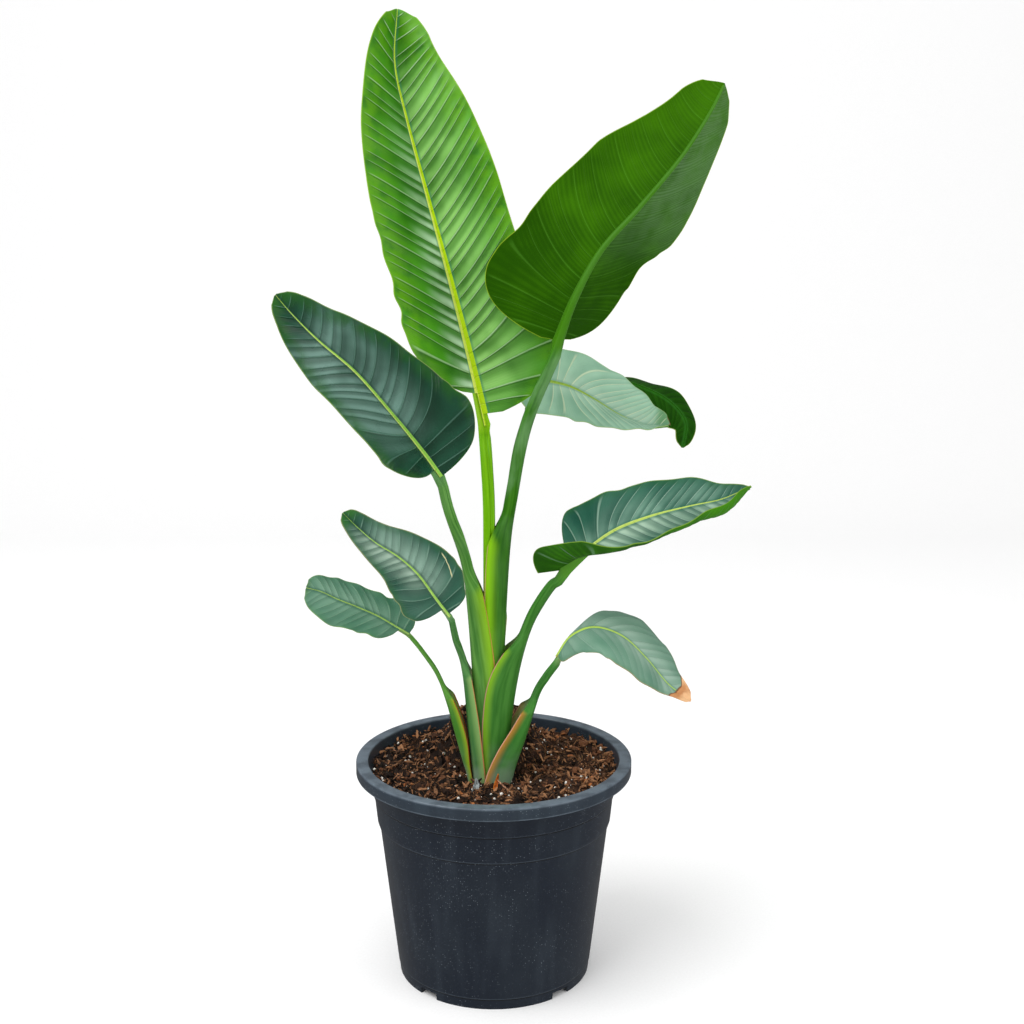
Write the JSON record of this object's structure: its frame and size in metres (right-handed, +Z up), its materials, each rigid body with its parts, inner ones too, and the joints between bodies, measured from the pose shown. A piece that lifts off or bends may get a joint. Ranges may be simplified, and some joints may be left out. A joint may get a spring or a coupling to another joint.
{
  "type": "potted bird of paradise plant",
  "caption": "House plant with upright and arching paddle leaves on sheathed stalks, standing in soil in a tapered plastic nursery pot with a rolled rim.",
  "frame": {"origin": "centre of the flat pad in the middle of the pot's underside", "axes": "+Z up along the pot's axis, +Y away from the front view, +X to the right in the front view"},
  "size_m": [0.4423, 0.294, 0.9583],
  "materials": {
    "pot": "satin",
    "soil": "matte",
    "crown": "matte",
    "leaf_1_stalk": "satin",
    "leaf_1_blade": "satin",
    "leaf_2_stalk": "satin",
    "leaf_2_blade": "satin",
    "leaf_3_stalk": "satin",
    "leaf_3_blade": "satin",
    "leaf_4_stalk": "satin",
    "leaf_4_blade": "satin",
    "leaf_5_stalk": "satin",
    "leaf_5_blade": "satin",
    "leaf_6_stalk": "satin",
    "leaf_6_blade": "satin",
    "leaf_7_stalk": "satin",
    "leaf_7_blade": "satin",
    "leaf_8_stalk": "satin",
    "leaf_8_blade": "satin",
    "leaf_9_stalk": "satin",
    "leaf_9_blade": "satin"
  },
  "bodies": {
    "root": {"pot": "pot", "soil": "soil", "crown": "crown", "leaf_1_stalk": "leaf_1_stalk", "leaf_1_blade": "leaf_1_blade", "leaf_2_stalk": "leaf_2_stalk", "leaf_2_blade": "leaf_2_blade", "leaf_3_stalk": "leaf_3_stalk", "leaf_3_blade": "leaf_3_blade", "leaf_4_stalk": "leaf_4_stalk", "leaf_4_blade": "leaf_4_blade", "leaf_5_stalk": "leaf_5_stalk", "leaf_5_blade": "leaf_5_blade", "leaf_6_stalk": "leaf_6_stalk", "leaf_6_blade": "leaf_6_blade", "leaf_7_stalk": "leaf_7_stalk", "leaf_7_blade": "leaf_7_blade", "leaf_8_stalk": "leaf_8_stalk", "leaf_8_blade": "leaf_8_blade", "leaf_9_stalk": "leaf_9_stalk", "leaf_9_blade": "leaf_9_blade"}
  },
  "joints": []
}
